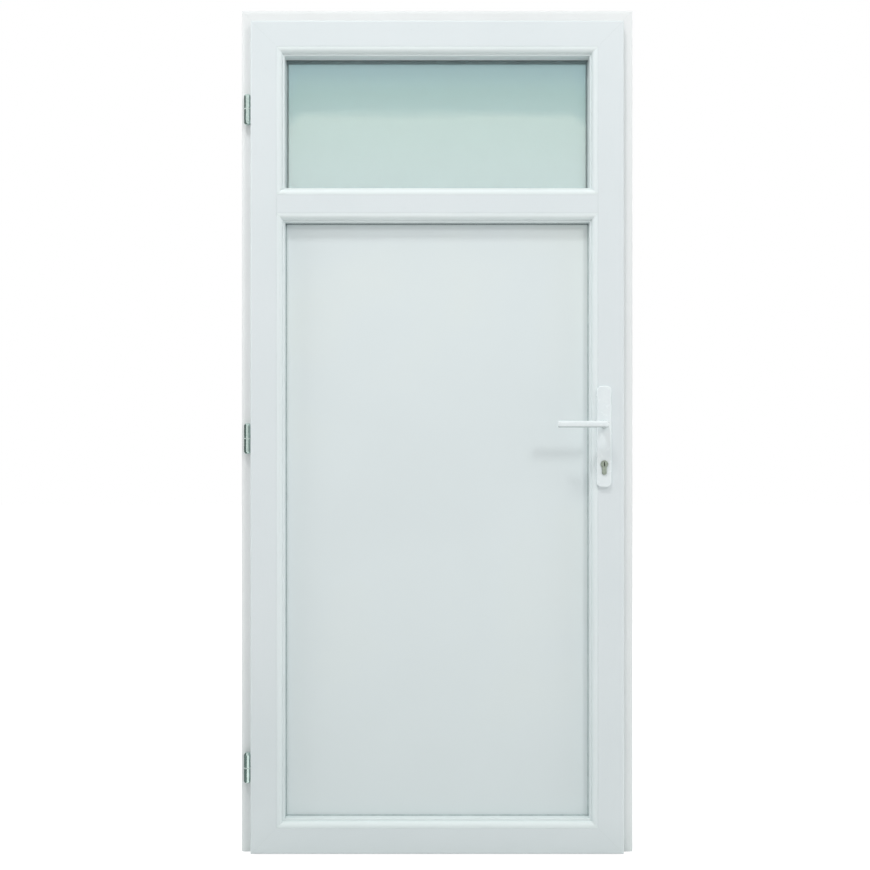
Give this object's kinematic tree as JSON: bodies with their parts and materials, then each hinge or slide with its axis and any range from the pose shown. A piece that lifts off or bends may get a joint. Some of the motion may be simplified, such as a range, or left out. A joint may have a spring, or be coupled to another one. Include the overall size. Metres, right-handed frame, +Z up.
{
  "type": "front door",
  "caption": "White plastic front door set: a glazed light over a flat panel in a leaf that swings on barrel hinges, with a lever handle on a long backplate.",
  "frame": {"origin": "middle of the threshold's flat underside, at mid depth of the frame", "axes": "+X towards the lock side, +Y towards the outside, +Z up"},
  "size_m": [0.92, 0.178, 1.98],
  "materials": {
    "frame_plastic": "satin white extrusion",
    "leaf_plastic": "satin white extrusion",
    "bead_plastic": "satin white extrusion",
    "panel_plastic": "smooth white skin",
    "glass": "clear with a faint green tint",
    "seal_rubber": "matt",
    "hinge_steel": "bright zinc",
    "handle_paint": "white powder coat",
    "cylinder_brass": "nickel rubbed to brass",
    "mill_aluminium": "satin anodised",
    "lock_steel": "bright zinc"
  },
  "bodies": {
    "frame": {"frame_hinge_jamb": "frame_plastic", "frame_lock_jamb": "frame_plastic", "frame_head": "frame_plastic", "threshold": "mill_aluminium", "frame_seal": "seal_rubber", "strike_plate": "lock_steel", "hinge_bottom_frame_half": "hinge_steel", "hinge_middle_frame_half": "hinge_steel", "hinge_top_frame_half": "hinge_steel"},
    "leaf": {"dead_bolt": "lock_steel", "glass_bead_bottom": "bead_plastic", "glass_bead_left": "bead_plastic", "glass_bead_right": "bead_plastic", "glass_bead_top": "bead_plastic", "glass_inner_pane": "glass", "glass_inner_seal": "seal_rubber", "glass_outer_pane": "glass", "glass_outer_seal": "seal_rubber", "glass_spacer": "mill_aluminium", "hinge_bottom_leaf_half": "hinge_steel", "hinge_middle_leaf_half": "hinge_steel", "hinge_top_leaf_half": "hinge_steel", "inside_backplate": "handle_paint", "latch_bolt": "lock_steel", "leaf_bottom_rail": "leaf_plastic", "leaf_hinge_stile": "leaf_plastic", "leaf_lock_stile": "leaf_plastic", "leaf_seal": "seal_rubber", "leaf_top_rail": "leaf_plastic", "leaf_transom": "leaf_plastic", "lock_cylinder": "cylinder_brass", "lock_faceplate": "lock_steel", "lower_panel": "panel_plastic", "outside_backplate": "handle_paint", "panel_bead_bottom": "bead_plastic", "panel_bead_left": "bead_plastic", "panel_bead_right": "bead_plastic", "panel_bead_top": "bead_plastic", "panel_inner_seal": "seal_rubber", "panel_outer_seal": "seal_rubber"},
    "lever": {"inside_lever": "handle_paint", "outside_lever": "handle_paint", "lever_spindle": "lock_steel"}
  },
  "joints": [
    {"name": "leaf_swing", "type": "hinge", "parent": "frame", "child": "leaf", "pos_m": [-0.4445, -0.0465, 0.9725], "axis": [0, 0, -1], "range_deg": [0, 110]},
    {"name": "lever_turn", "type": "hinge", "parent": "leaf", "child": "lever", "pos_m": [0.388, -0.022, 1.005], "axis": [0, -1, 0], "range_deg": [0, 40], "stiffness_Nm_per_rad": 1.2, "springref_deg": -28.65}
  ]
}
